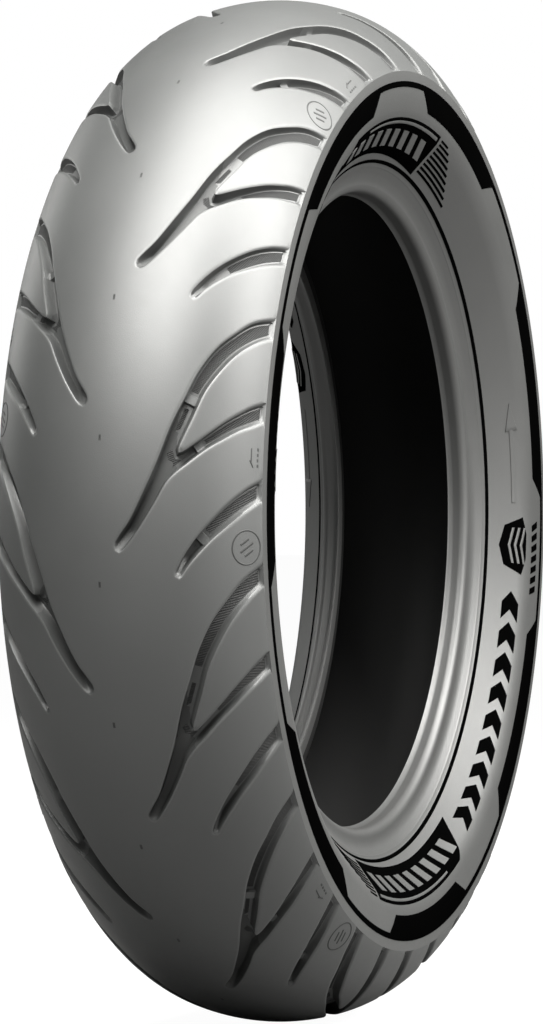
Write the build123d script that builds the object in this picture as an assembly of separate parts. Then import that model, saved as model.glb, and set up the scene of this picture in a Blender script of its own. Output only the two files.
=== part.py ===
from build123d import *
import os
from math import cos, radians, sin

# Motorcycle rear tyre, 170/70B16 class, unmounted.  Millimetres.
# +Z is up, the axle runs along Y, and the origin is the centre of the tyre.
# Half sections are drawn on XY, with x the distance from the centre plane and y the radius,
# then stood up and turned about the axle.  A heading is measured from outboard, clockwise.

# ---- driving dimensions -------------------------------------------------------------------
CROWN_R = 322.7             # tread radius on the centre plane
CROWN_ARC = (114.8, 18.14)  # radius and turn of the middle of the tread
SHOULDER_ARC = (80.14, 45.91)
SHOULDER_BREAK = 84.6       # heading of the sidewall where it leaves the tread edge
SIDEWALL_RUNS = [("arc", 79.5, 17.4), ("arc", 27.4, 27.0), ("line", 27.2)]
RIM_LINE_TURN = 44.4        # the sidewall flattens by this much at the rim line
BEAD_RUNS = [("line", 7.1), ("arc", 12.0, -39.0), ("arc", 5.5, 90.0), ("line", 3.5)]
TOE = (39.2, 199.1)         # inner lip of the bead

PLY_R = 309.5               # outer face of the carcass on the centre plane
PLY_RUNS = [("arc", 105.5, 20.7), ("arc", 73.2, 40.0), ("arc", 16.7, 36.3), ("arc", 55.3, 8.2),
            ("arc", 27.0, 30.9), ("line", 28.1), ("arc", 17.3, -46.1), ("line", 4.0)]
PLY = 0.9                   # thickness of one carcass ply
TIE_GUM = 0.7
LINER = 1.4
BELT = 1.0                  # thickness of one breaker ply
UNDERTREAD = 1.3
BELT_INNER_EDGE = 52.0      # headings where the plies of the crown end
BELT_OUTER_EDGE = 48.0
BELT_STRIP_EDGE = 56.5
UNDERTREAD_EDGE = 60.0
WING_EDGE_R = 270.0         # radius where the sidewall rubber starts
WING_TOP = (24.0, 6.43)     # the wing reaches this far in under the tread edge, and this far down
WING_LIP = (20.0, 5.4)      # the same slope, carried on outwards from the shoulder
RIM_CUT = (7.77, 6.29)      # the rim strip's joint runs inwards and up from the rim line
RIM_SLOPE = 74.0            # how far the joint drops by the edge of the construction shapes

WIRE_D = 1.3                # bead wire
WIRE_PITCH = 1.45
WIRE_COLUMNS = 3
WIRE_ROWS = 4
CORE_X = 45.6               # middle of the bead bundle
CORE_BOTTOM_R = 204.3
CORE_W = 4.6
CORE_H = 6.0
CORE_CORNER = 0.8
FILLER_TIP = (67.7, 239.2)  # top of the bead filler
FILLER_BACK = (55.0, 222.3)
FLIPPER = 0.4               # bead wrap
FLIPPER_TOP_R = 219.0
CHAFER = 0.5
CHAFER_TOP_R = 216.0
CAVITY_END_R = 207.0        # where the cavity layers end, above the toe
BODY_PLY_END_R = 206.0

# ---- tread pattern ------------------------------------------------------------------------
PITCHES = 12
SIDE_SHIFT = 15.0           # the two halves of the tread are staggered by half a pitch
GROOVE_DEPTH = 7.8
EDGE_DEPTH = 3.0            # groove depth at the tread edge
DEEP_UNTIL = 50.0           # arc distance from the centre line where the grooves start to rise
GROOVE_END = 99.5
DRAFT = 1.3                 # each wall leans in by this much at full depth
CLEAR = 1.0                 # cutters stand this far above the tread
# Stations of a groove: (angle, arc distance) of its leading lip and of its trailing lip.
MAIN_GROOVE = [((-3.4, 9.9), (-4.1, 14.0)), ((-1.0, 18.5), (-2.0, 23.2)),
               ((1.0, 24.2), (-0.2, 29.6)), ((3.0, 28.9), (1.6, 35.2)),
               ((5.0, 33.8), (3.4, 40.7)), ((9.0, 41.4), (7.0, 47.0)),
               ((12.0, 48.2), (10.0, 53.8)), ((15.0, 54.9), (13.0, 60.1)),
               ((18.0, 64.7), (15.5, 68.0)), ((20.0, 74.2), (17.5, 76.0)),
               ((22.0, 85.4), (19.5, 86.5)), ((23.5, GROOVE_END), (21.25, GROOVE_END))]
BRANCH_GROOVE = [((5.2, 41.5), (3.0, 39.8)), ((6.3, 49.0), (4.3, 46.5)),
                 ((7.5, 57.6), (5.7, 56.3)), ((9.0, 67.7), (7.3, 66.5)),
                 ((10.5, 78.4), (8.4, 77.5)), ((11.7, 88.5), (9.6, 88.0)),
                 ((12.85, GROOVE_END), (10.75, GROOVE_END))]
SHORT_GROOVE = [((-6.5, 45.0), (-7.0, 47.0)), ((-5.0, 48.8), (-5.9, 52.5)),
                ((-3.0, 56.6), (-4.3, 60.3)), ((-1.0, 66.6), (-2.7, 69.0)),
                ((1.0, 78.4), (-0.8, 82.6)), ((2.5, 89.9), (0.4, 92.0)),
                ((3.5, GROOVE_END), (1.35, GROOVE_END))]

FAR = 150.0                 # reach of the construction shapes past the section
NEAR = 30.0                 # inner edge of the construction shapes round the bead
LOW_R = 180.0               # their lower edge
SPARE = 20.0                # how far they stand above the tread


# ---- paths of tangent arcs ----------------------------------------------------------------
def to_right(heading):
    """Unit step to the right of a path."""
    return Vector(-sin(heading), -cos(heading))


def walk(start, heading, runs, depth=0.0):
    """Edges of a smooth path, moved to its right by depth, with its end point and heading."""
    angle = radians(heading)
    point = Vector(*start) + to_right(angle) * depth
    edges = []
    for kind, size, *turn in runs:
        if kind == "line":
            end = point + Vector(cos(angle), -sin(angle)) * size
            edges.append(Line(point, end))
        else:
            bend = radians(turn[0])
            signed = size if bend > 0 else -size
            reach = signed - depth
            centre = point + to_right(angle) * reach
            middle = centre - to_right(angle + bend / 2) * reach
            end = centre - to_right(angle + bend) * reach
            edges.append(ThreePointArc(point, middle, end))
            angle += bend
        point = end
    return edges, point, angle


def closed_face(edges, corners):
    """Face between a chain of edges and the straight runs that close it."""
    first = edges[0] @ 0
    last = edges[-1] @ 1
    return make_face(edges + [Polyline(last, *corners, first)])


def polygon(*corners):
    """Face with straight sides."""
    return make_face(Polyline(*corners, close=True))


def outboard_of(depth):
    """Everything outboard of the carcass path, moved inwards by depth."""
    edges, end, _ = walk((0, PLY_R), 0, PLY_RUNS, depth)
    return closed_face(edges, [(end.X, LOW_R), (FAR, LOW_R), (FAR, CROWN_R + SPARE),
                               (0, CROWN_R + SPARE)])


def band(inner, outer):
    """Layer that follows the carcass path between two depths."""
    return outboard_of(inner) - outboard_of(outer)


def crown_sector(heading):
    """Everything between the centre plane and the carcass normal at a heading."""
    first_r, first_turn = PLY_RUNS[0][1:]
    second_r = PLY_RUNS[1][1]
    centre = Vector(0, PLY_R - first_r)
    centre -= to_right(radians(first_turn)) * (first_r - second_r)
    tip = centre - to_right(radians(heading)) * FAR
    return polygon((0, centre.Y), centre, tip, (0, CROWN_R + FAR))


def above(radius):
    """Everything farther from the axle than radius."""
    return polygon((0, radius), (FAR, radius), (FAR, CROWN_R + FAR), (0, CROWN_R + FAR))


# ---- the whole half section ---------------------------------------------------------------
tread_edges, shoulder, _ = walk((0, CROWN_R), 0, [("arc", *CROWN_ARC), ("arc", *SHOULDER_ARC)])
side_edges, rim_line, _ = walk(shoulder, SHOULDER_BREAK, SIDEWALL_RUNS)
bead_edges, seat_end, _ = walk(rim_line, SHOULDER_BREAK + RIM_LINE_TURN, BEAD_RUNS)
CAVITY_DEPTH = 2 * PLY + TIE_GUM + LINER
cavity_edges, cavity_end, _ = walk((0, PLY_R), 0, PLY_RUNS, CAVITY_DEPTH)

outline = tread_edges + side_edges + bead_edges
outline.append(Polyline(seat_end, TOE, cavity_end))
outline += cavity_edges
outline.append(Line((0, PLY_R - CAVITY_DEPTH), (0, CROWN_R)))
whole = make_face(outline)

SEAT_R = seat_end.Y
SEAT_X = (seat_end.X, seat_end.X + BEAD_RUNS[-1][1])

# ---- bead pack ----------------------------------------------------------------------------
core_middle = (CORE_X, CORE_BOTTOM_R + CORE_H / 2)
core = Pos(*core_middle) * RectangleRounded(CORE_W, CORE_H, CORE_CORNER)
core_outer_x = CORE_X + CORE_W / 2
filler_outline = polygon(FILLER_TIP, FILLER_BACK, (core_outer_x, CORE_BOTTOM_R + CORE_H - 1),
                         (core_outer_x, CORE_BOTTOM_R), (NEAR, CORE_BOTTOM_R), (NEAR, FILLER_TIP[1]))
pack_inside = filler_outline & outboard_of(-FLIPPER)
pack = offset(pack_inside, FLIPPER)
flipper = (pack - pack_inside) - above(FLIPPER_TOP_R)
filler = (pack - flipper - core).faces().sort_by(SortBy.AREA)[-1]

wires = Sketch() + [Pos(CORE_X + (i - (WIRE_COLUMNS - 1) / 2) * WIRE_PITCH,
                        core_middle[1] + (j - (WIRE_ROWS - 1) / 2) * WIRE_PITCH) * Circle(WIRE_D / 2)
                    for i in range(WIRE_COLUMNS) for j in range(WIRE_ROWS)]
insulation = pack - flipper - filler - wires

# ---- carcass plies, turned up round the bead pack -------------------------------------------
one_ply = offset(pack, PLY)
two_plies = offset(pack, 2 * PLY)
ply_outer = (band(PLY, 0) & above(BODY_PLY_END_R)) + (one_ply - pack)
ply_inner = (band(2 * PLY, PLY) & above(BODY_PLY_END_R)) + (two_plies - one_ply) - ply_outer
plies = ply_outer + ply_inner

cavity_layers = whole - outboard_of(2 * PLY)
cavity_layers = cavity_layers & above(CAVITY_END_R)
liner = cavity_layers - outboard_of(2 * PLY + TIE_GUM)
tie_gum = cavity_layers - liner

chafer = (offset(two_plies, CHAFER) - two_plies - cavity_layers) & (whole - above(CHAFER_TOP_R))

# ---- crown ----------------------------------------------------------------------------------
belt_inner = band(0, -BELT) & crown_sector(BELT_INNER_EDGE)
belt_outer = band(-BELT, -2 * BELT) & crown_sector(BELT_OUTER_EDGE)
belt_strip = (band(0, -BELT) & crown_sector(BELT_STRIP_EDGE)) - crown_sector(BELT_INNER_EDGE)
crown_layers = belt_inner + belt_outer + belt_strip
undertread = (band(0, -2 * BELT - UNDERTREAD) & crown_sector(UNDERTREAD_EDGE)) - crown_layers

# ---- outer rubber ---------------------------------------------------------------------------
inside = plies + pack + cavity_layers + chafer + crown_layers + undertread
outer_rubber = whole - inside
wing_top = (shoulder.X - WING_TOP[0], shoulder.Y - WING_TOP[1])
wing_lip = (shoulder.X + WING_LIP[0], shoulder.Y + WING_LIP[1])
tread_side = polygon((0, WING_EDGE_R - SPARE), wing_top, shoulder, wing_lip,
                     (FAR, CROWN_R + SPARE), (0, CROWN_R + SPARE))
rim_cut = (rim_line.X - RIM_CUT[0], rim_line.Y + RIM_CUT[1])
rim_side = polygon(rim_line, rim_cut, (NEAR, rim_cut[1]), (NEAR, LOW_R), (FAR, LOW_R),
                   (FAR, rim_line.Y - RIM_SLOPE))
tread = outer_rubber & tread_side
wing = (outer_rubber - tread_side) & above(WING_EDGE_R)
rim_strip = outer_rubber & rim_side
sidewall = outer_rubber - tread_side - above(WING_EDGE_R) - rim_side


# ---- turning the half sections into rings ---------------------------------------------------
def ring(section, side=0):
    """Ring from a half section: side 1 or -1 for one side only, 0 for both halves in one."""
    if side == 0:
        section = section + section.mirror(Plane.YZ)
    elif side == 1:
        section = section.mirror(Plane.YZ)
    upright = Plane(origin=(0, 0, 0), x_dir=(0, -1, 0), z_dir=(-1, 0, 0))
    rings = [revolve(upright * face, Axis.Y, 360) for face in section.faces()]
    return rings[0] if len(rings) == 1 else Compound(children=rings)


# ---- tread grooves --------------------------------------------------------------------------
def tread_frame(angle, arc, side):
    """Point on the tread and its outward normal."""
    middle_arc = CROWN_ARC[0] * radians(CROWN_ARC[1])
    if arc < middle_arc:
        heading = arc / CROWN_ARC[0]
        x, r = CROWN_ARC[0] * sin(heading), CROWN_R - CROWN_ARC[0] * (1 - cos(heading))
    else:
        heading = radians(CROWN_ARC[1]) + (arc - middle_arc) / SHOULDER_ARC[0]
        start = radians(CROWN_ARC[1])
        x = CROWN_ARC[0] * sin(start) + SHOULDER_ARC[0] * (sin(heading) - sin(start))
        r = CROWN_R - CROWN_ARC[0] * (1 - cos(start)) - SHOULDER_ARC[0] * (cos(start) - cos(heading))
    turn = radians(angle)
    out_x, out_r = sin(heading), cos(heading)
    point = Vector(-r * cos(turn), side * x, r * sin(turn))
    normal = Vector(-out_r * cos(turn), side * out_x, out_r * sin(turn))
    return point, normal


def groove_depth(arc):
    """Depth of a groove at an arc distance from the centre line."""
    rise = max(0.0, arc - DEEP_UNTIL) / (GROOVE_END - DEEP_UNTIL)
    return GROOVE_DEPTH + (EDGE_DEPTH - GROOVE_DEPTH) * rise


def groove_cutter(stations, first_angle, side):
    """Trapezoid channel through the stations, from above the tread down to the groove floor."""
    sections = []
    for (lead_angle, lead_arc), (trail_angle, trail_arc) in stations:
        lead, up_a = tread_frame(first_angle + lead_angle, lead_arc, side)
        trail, up_b = tread_frame(first_angle + trail_angle, trail_arc, side)
        across = (lead - trail).normalized()
        up = up_a + up_b
        up = (up - across * up.dot(across)).normalized()
        depth = groove_depth((lead_arc + trail_arc) / 2)
        lean = DRAFT * depth / GROOVE_DEPTH
        flare = DRAFT * CLEAR / GROOVE_DEPTH
        sections.append(Wire.make_polygon([lead + across * flare + up * CLEAR,
                                           lead - across * lean - up * depth,
                                           trail + across * lean - up * depth,
                                           trail - across * flare + up * CLEAR]))
    return Solid.make_loft(sections)


def groove_cutters():
    """All grooves of the tread."""
    cutters = []
    for side in (-1, 1):
        shift = 0.0 if side < 0 else SIDE_SHIFT
        for pitch in range(PITCHES):
            first_angle = shift + pitch * 360 / PITCHES
            for stations in (MAIN_GROOVE, BRANCH_GROOVE, SHORT_GROOVE):
                cutters.append(groove_cutter(stations, first_angle, side))
    return cutters


# ---- write the nodes ------------------------------------------------------------------------
def write(name, shape):
    """Write one node."""
    export_step(shape, f"parts/{name}.step")


os.makedirs("parts", exist_ok=True)
write("tread_cap", ring(tread).cut(*groove_cutters()))
write("tread_base", ring(undertread))
write("belt_outer", ring(belt_outer))
write("belt_inner", ring(belt_inner))
write("carcass_ply_outer", ring(ply_outer))
write("carcass_ply_inner", ring(ply_inner))
write("tie_gum", ring(tie_gum))
write("inner_liner", ring(liner))
PAIRS = {"tread_wing": wing, "sidewall": sidewall, "rim_strip": rim_strip, "chafer": chafer,
         "bead_wires": wires, "bead_insulation": insulation, "bead_filler": filler,
         "bead_wrap": flipper, "belt_edge_strip": belt_strip}
for name, section in PAIRS.items():
    write(f"{name}_left", ring(section, 1))
    write(f"{name}_right", ring(section, -1))
print(f"bead seat radius {SEAT_R:.3f}, from {SEAT_X[0]:.3f} to {SEAT_X[1]:.3f} mm off centre")
print(f"rim line {rim_line.X:.2f}, {rim_line.Y:.2f}; shoulder {shoulder.X:.2f}, {shoulder.Y:.2f}")
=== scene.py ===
from math import cos, pi, radians, sin, sqrt

import bmesh
import bpy
import numpy as np
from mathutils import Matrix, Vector
from mathutils.geometry import delaunay_2d_cdt


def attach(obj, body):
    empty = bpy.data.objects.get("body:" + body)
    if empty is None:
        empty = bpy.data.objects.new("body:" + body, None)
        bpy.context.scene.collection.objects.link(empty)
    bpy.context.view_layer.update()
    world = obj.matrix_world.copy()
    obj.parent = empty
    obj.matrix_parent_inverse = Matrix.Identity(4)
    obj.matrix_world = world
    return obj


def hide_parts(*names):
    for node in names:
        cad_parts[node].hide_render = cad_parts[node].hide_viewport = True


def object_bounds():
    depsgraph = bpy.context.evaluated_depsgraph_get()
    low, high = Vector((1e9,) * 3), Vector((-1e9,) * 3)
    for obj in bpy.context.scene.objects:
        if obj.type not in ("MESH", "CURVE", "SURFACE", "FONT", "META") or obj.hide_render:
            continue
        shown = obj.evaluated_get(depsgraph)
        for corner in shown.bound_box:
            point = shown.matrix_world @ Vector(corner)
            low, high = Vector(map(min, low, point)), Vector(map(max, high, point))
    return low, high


# Motorcycle rear tyre. Drawing sizes are in millimetres and go to metres when a mesh is made.
# An angle is measured about the axle, from -X over the top; an arc distance runs along the
# section from the centre line of the tread.  Side -1 is the -Y side, which is the right side.

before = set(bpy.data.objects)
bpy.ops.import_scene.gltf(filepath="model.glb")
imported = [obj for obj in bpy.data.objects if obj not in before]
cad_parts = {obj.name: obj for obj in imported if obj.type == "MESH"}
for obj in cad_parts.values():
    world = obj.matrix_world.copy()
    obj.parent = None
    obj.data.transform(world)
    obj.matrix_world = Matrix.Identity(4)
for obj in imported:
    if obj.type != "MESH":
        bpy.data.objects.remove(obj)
cad_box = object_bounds()
MM = 0.001

# ---- sizes of the tyre ----------------------------------------------------------------------
CROWN_R = 322.7
CROWN_ARC = (114.8, 18.14)
SHOULDER_ARC = (80.14, 45.91)
SHOULDER_BREAK = 84.6
SIDE_RUNS = [("arc", 79.5, 17.4), ("arc", 27.4, 27.0), ("line", 27.2)]
SIDE_TURN = 44.4            # the sidewall's own turn, in degrees
BEAD_RUNS = [("line", 7.1), ("arc", 12.0, -39.0), ("arc", 5.5, 90.0), ("line", 3.5)]
PLY_R = 309.5
PLY_RUNS = [("arc", 105.5, 20.7), ("arc", 73.2, 40.0), ("arc", 16.7, 36.3), ("arc", 55.3, 8.2),
            ("arc", 27.0, 30.9), ("line", 28.1), ("arc", 17.3, -46.1), ("line", 4.0)]
CAVITY_DEPTH = 3.9
LINER_END_R = 207.0
UNDERTREAD_TOP = 3.3
SIDES = {"left": 1, "right": -1}

PITCHES = 12
PITCH = 360 / PITCHES
SIDE_SHIFT = 15.0
GROOVE_DEPTH = 7.8
EDGE_DEPTH = 2.0            # groove depth at the shoulder
DEEP_UNTIL = 50.0           # arc distance where the grooves start to rise
GROOVE_END = 100.1
FLAT_DEG = 5.3              # millimetres for one degree in the flat drawing of the tread
WALL = 0.8                  # width of a groove wall seen from above
FLOOR_IN = 1.35             # where the floor starts, in from the lip
PATCH_IN = 2.1              # where the velvet patch starts
STRIP_IN = 3.3              # where the narrow strip before a wear bar starts
STRIP_LONG = 13.5           # length of that strip
STEM_END = 46.0             # below this arc the groove floors are duller and painted darker, as painted shade in the deep stem
BAR_RISE = 2.3              # height of a wear bar
TIPS = [(-4.17, 11.5), (-7.03, 45.3)]   # closed ends of the two grooves
LIP_SHARE = 0.42            # depth of the soft lip, as a share of its width
FLOOR_FILLET = 0.7          # height of the rounding between wall and floor
TIP_RUN = 13.0              # a groove deepens over this distance from its tip


# ---- section of the tyre --------------------------------------------------------------------
def to_right(heading):
    """Unit step to the right of a path with this heading."""
    return np.array([-sin(heading), -cos(heading)])


def walk(start, heading, runs, depth=0.0, step=2.5):
    """Points and headings along a path of tangent runs, moved to its right by depth."""
    angle = radians(heading)
    point = np.array(start, float) + to_right(angle) * depth
    points, headings = [point], [angle]
    for kind, size, *turn in runs:
        if kind == "line":
            count = max(1, round(size / 4))
            ahead = np.array([cos(angle), -sin(angle)])
            for k in range(1, count + 1):
                points.append(point + ahead * size * k / count)
                headings.append(angle)
        else:
            bend = radians(turn[0])
            reach = (size if bend > 0 else -size) - depth
            centre = point + to_right(angle) * reach
            count = max(2, round(abs(turn[0]) / step))
            for k in range(1, count + 1):
                now = angle + bend * k / count
                points.append(centre - to_right(now) * reach)
                headings.append(now)
            angle += bend
        point = points[-1]
    return np.array(points), np.array(headings)


MIDDLE_ARC = CROWN_ARC[0] * radians(CROWN_ARC[1])
EDGE_ARC = MIDDLE_ARC + SHOULDER_ARC[0] * radians(SHOULDER_ARC[1])
tread_path, _ = walk((0, CROWN_R), 0, [("arc", *CROWN_ARC), ("arc", *SHOULDER_ARC)])
shoulder = tread_path[-1]
side_path, side_heads = walk(shoulder, SHOULDER_BREAK, SIDE_RUNS, step=1.5)
RIM_LINE = side_path[-1]
bead_path, bead_heads = walk(RIM_LINE, SHOULDER_BREAK + SIDE_TURN, BEAD_RUNS, step=4)
cavity_path, _ = walk((0, PLY_R), 0, PLY_RUNS, CAVITY_DEPTH, step=4)
under_path, _ = walk((0, PLY_R), 0, PLY_RUNS[:2], -UNDERTREAD_TOP, step=8)


def on_tread(arc):
    """Distance off centre, radius and heading of the tread at arc distances."""
    arc = np.asarray(arc, float)
    start = radians(CROWN_ARC[1])
    heading = np.where(arc < MIDDLE_ARC, arc / CROWN_ARC[0],
                       start + (arc - MIDDLE_ARC) / SHOULDER_ARC[0])
    first = np.minimum(heading, start)
    x = CROWN_ARC[0] * np.sin(first)
    x = x + SHOULDER_ARC[0] * (np.sin(heading) - np.sin(first))
    r = CROWN_R - CROWN_ARC[0] * (1 - np.cos(first))
    r = r - SHOULDER_ARC[0] * (np.cos(first) - np.cos(heading))
    return x, r, heading


def on_side(radius):
    """Distance off centre and outward step of the sidewall and bead flank at radii."""
    path = np.vstack([side_path, bead_path[1:]])
    heads = np.concatenate([side_heads, bead_heads[1:]])
    keep = np.argmin(path[:, 1])
    path, heads = path[:keep + 1], heads[:keep + 1]
    x = np.interp(-np.asarray(radius, float), -path[:, 1], path[:, 0])
    head = np.interp(-np.asarray(radius, float), -path[:, 1], heads)
    return x, np.sin(head), np.cos(head)


def place(x, r, angle, side):
    """Points in metres from distance off centre, radius and angle in degrees."""
    turn = np.radians(angle)
    return np.stack([-r * np.cos(turn), side * x, r * np.sin(turn)], -1) * MM


def side_points(radius, angle, lift, side):
    """Points on a sidewall, lifted off it."""
    x, out_x, out_r = on_side(radius)
    return place(x + out_x * lift, radius + out_r * lift, angle, side)


# ---- making meshes --------------------------------------------------------------------------
def new_piece(name, vertices, faces, material, smooth_angle=40, uv=None):
    """Mesh object with its doubles merged and its faces outward."""
    mesh = bpy.data.meshes.new(name)
    mesh.from_pydata([tuple(v) for v in vertices], [], faces)
    if uv is not None:
        layer = mesh.uv_layers.new(name="UVMap")
        loops = np.zeros(len(mesh.loops), np.int32)
        mesh.loops.foreach_get("vertex_index", loops)
        layer.data.foreach_set("uv", np.asarray(uv, np.float32)[loops].ravel())
    build = bmesh.new()
    build.from_mesh(mesh)
    bmesh.ops.remove_doubles(build, verts=build.verts, dist=1e-6)
    bmesh.ops.dissolve_degenerate(build, edges=build.edges, dist=1e-7)
    bmesh.ops.recalc_face_normals(build, faces=build.faces)
    build.to_mesh(mesh)
    build.free()
    mesh.materials.append(material)
    mesh.shade_smooth()
    mesh.set_sharp_from_angle(angle=radians(smooth_angle))
    piece = bpy.data.objects.new(name, mesh)
    bpy.context.scene.collection.objects.link(piece)
    return piece


def finish_piece(piece, slot, *nodes):
    """The piece moves with the tyre and may stand for CAD nodes, which are hidden. The slot is not used.
    """
    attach(piece, "root")
    if nodes:
        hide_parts(*nodes)


def ring_piece(name, outline, side, material, columns=360):
    """Closed ring turned from a closed outline of (distance off centre, radius)."""
    outline = np.array(outline, float)
    count = len(outline)
    length = np.concatenate([[0], np.cumsum(np.linalg.norm(np.diff(outline, axis=0), axis=1))])
    angles = np.arange(columns) * 360 / columns
    vertices = np.concatenate([place(outline[:, 0], outline[:, 1], a, side) for a in angles])
    uv = np.concatenate([np.stack([np.full(count, a / 360), length / 100], -1) for a in angles])
    faces = []
    for column in range(columns):
        here, there = column * count, (column + 1) % columns * count
        for k in range(count):
            after = (k + 1) % count
            faces.append((here + k, here + after, there + after, there + k))
    return new_piece(name, vertices, faces, material, uv=uv)


# ---- plates on a sidewall -------------------------------------------------------------------
def plate(vertices, faces, rows, columns, top, bottom, closed=False):
    """Adds a closed plate: a grid of top points over a grid of bottom points."""
    base = len(vertices)
    size = rows * columns
    vertices.extend(top.reshape(-1, 3))
    vertices.extend(bottom.reshape(-1, 3))

    def at(row, column, layer):
        return base + layer * size + row * columns + column % columns

    spans = columns if closed else columns - 1
    for row in range(rows - 1):
        for column in range(spans):
            for layer in (0, 1):
                faces.append((at(row, column, layer), at(row, column + 1, layer),
                              at(row + 1, column + 1, layer), at(row + 1, column, layer)))
    for column in range(spans):
        for row in (0, rows - 1):
            faces.append((at(row, column, 0), at(row, column + 1, 0),
                          at(row, column + 1, 1), at(row, column, 1)))
    if not closed:
        for row in range(rows - 1):
            for column in (0, columns - 1):
                faces.append((at(row, column, 0), at(row + 1, column, 0),
                              at(row + 1, column, 1), at(row, column, 1)))


SUNK = 0.25                 # plates reach this far under the surface they stand on


def polar_plate(store, angles, outer, inner, lift, side, rows=6, closed=False, bevel=0.25):
    """Plate between two radii given at each angle, with softened inner and outer edges."""
    angles = np.asarray(angles, float)
    outer, inner = np.broadcast_to(outer, angles.shape), np.broadcast_to(inner, angles.shape)
    share = np.linspace(0, 1, rows)[:, None]
    height = np.full(rows, lift)
    width = np.maximum(outer - inner, 0.01)
    share = np.concatenate([share[:1], share[:1] + bevel / width.mean(), share[1:-1],
                            share[-1:] - bevel / width.mean(), share[-1:]])
    height = np.concatenate([[lift - 0.12], height, [lift - 0.12]])
    radius = outer + (inner - outer) * share
    spread = np.broadcast_to(angles, radius.shape)
    top = side_points(radius, spread, height[:, None], side)
    bottom = side_points(radius, spread, -SUNK, side)
    plate(*store, len(height), len(angles), top, bottom, closed)


def slanted_block(store, angle, width, outer, inner, slant, lift, side, point=0.0):
    """Raised block: width and slant are in degrees, and point bends it into a chevron."""
    steps = 5
    radius = np.linspace(outer, inner, steps)[:, None]
    lean = np.linspace(slant / 2, -slant / 2, steps)[:, None]
    lean = lean + point * (1 - np.abs(np.linspace(-1, 1, steps)))[:, None]
    across = np.linspace(-width / 2, width / 2, 4)[None, :]
    spread = angle + lean + across
    radius = np.broadcast_to(radius, spread.shape)
    top = side_points(radius, spread, lift, side)
    bottom = side_points(radius, spread, -SUNK, side)
    plate(*store, steps, 4, top, bottom)


def outline_plate(store, corners, lift, side, divide=6):
    """Raised plate from a convex outline of (angle, radius) corners."""
    corners = np.array(corners, float)
    ring = []
    for a, b in zip(corners, np.roll(corners, -1, 0)):
        for k in range(divide):
            ring.append(a + (b - a) * k / divide)
    ring = np.array(ring)
    centre = corners.mean(0)
    vertices, faces = store
    base, count = len(vertices), len(ring)
    loops = [(1.0, -SUNK), (1.0, lift - 0.1), (0.97, lift), (0.55, lift)]
    for scale, height in loops:
        points = centre + (ring - centre) * scale
        vertices.extend(side_points(points[:, 1], points[:, 0], height, side))
    vertices.append(side_points(np.array([centre[1]]), np.array([centre[0]]), lift, side)[0])
    vertices.append(side_points(np.array([centre[1]]), np.array([centre[0]]), -SUNK, side)[0])
    top, bottom = base + count * len(loops), base + count * len(loops) + 1
    for k in range(count):
        after = (k + 1) % count
        for level in range(len(loops) - 1):
            low, high = base + level * count, base + (level + 1) * count
            faces.append((low + k, low + after, high + after, high + k))
        last = base + (len(loops) - 1) * count
        faces.append((last + k, last + after, top))
        faces.append((base + after, base + k, bottom))


# ---- shader groups --------------------------------------------------------------------------
def shader_group(name, inputs, outputs):
    """Empty shader node group with float inputs {name: default} and typed outputs."""
    group = bpy.data.node_groups.new(name, "ShaderNodeTree")
    for label, value in inputs.items():
        socket = group.interface.new_socket(label, in_out="INPUT", socket_type="NodeSocketFloat")
        socket.default_value = value
    for label, kind in outputs.items():
        group.interface.new_socket(label, in_out="OUTPUT", socket_type=kind)
    enter = group.nodes.new("NodeGroupInput")
    leave = group.nodes.new("NodeGroupOutput")
    return group, enter, leave


def math_node(tree, operation, first, second=None, clamp=False):
    """Math node with values or sockets on its inputs."""
    node = tree.nodes.new("ShaderNodeMath")
    node.operation = operation
    node.use_clamp = clamp
    for slot, value in enumerate((first, second)):
        if value is None:
            continue
        if isinstance(value, (int, float)):
            node.inputs[slot].default_value = value
        else:
            tree.links.new(value, node.inputs[slot])
    return node.outputs[0]


def noise_node(tree, vector, scale, detail, rough=0.55):
    """Noise texture's value."""
    node = tree.nodes.new("ShaderNodeTexNoise")
    tree.links.new(vector, node.inputs["Vector"])
    if isinstance(scale, (int, float)):
        node.inputs["Scale"].default_value = scale
    else:
        tree.links.new(scale, node.inputs["Scale"])
    node.inputs["Detail"].default_value = detail
    node.inputs["Roughness"].default_value = rough
    return node.outputs["Fac"]


def make_rubber_grain():
    """Moulded rubber: fine grain height, cloudy tone and a gloss mask."""
    group, enter, leave = shader_group(
        "moulded_rubber_grain",
        {"Grain Scale": 1400.0, "Cloud Scale": 14.0, "Streaks": 0.3},
        {"Height": "NodeSocketFloat", "Tone": "NodeSocketFloat", "Gloss": "NodeSocketFloat"})
    place_node = group.nodes.new("ShaderNodeTexCoord").outputs["Object"]
    grain = noise_node(group, place_node, enter.outputs["Grain Scale"], 4, 0.6)
    cloud = noise_node(group, place_node, enter.outputs["Cloud Scale"], 5, 0.6)
    medium = noise_node(group, place_node, 120.0, 3, 0.5)
    streak = math_node(group, "MULTIPLY", medium, enter.outputs["Streaks"])
    height = math_node(group, "ADD", grain, streak)
    tone = math_node(group, "ADD", math_node(group, "MULTIPLY", cloud, 0.7),
                     math_node(group, "MULTIPLY", grain, 0.3))
    gloss = math_node(group, "ADD", math_node(group, "MULTIPLY", medium, 0.4),
                      math_node(group, "MULTIPLY", cloud, 0.6))
    group.links.new(height, leave.inputs["Height"])
    group.links.new(tone, leave.inputs["Tone"])
    group.links.new(gloss, leave.inputs["Gloss"])
    return group


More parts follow.
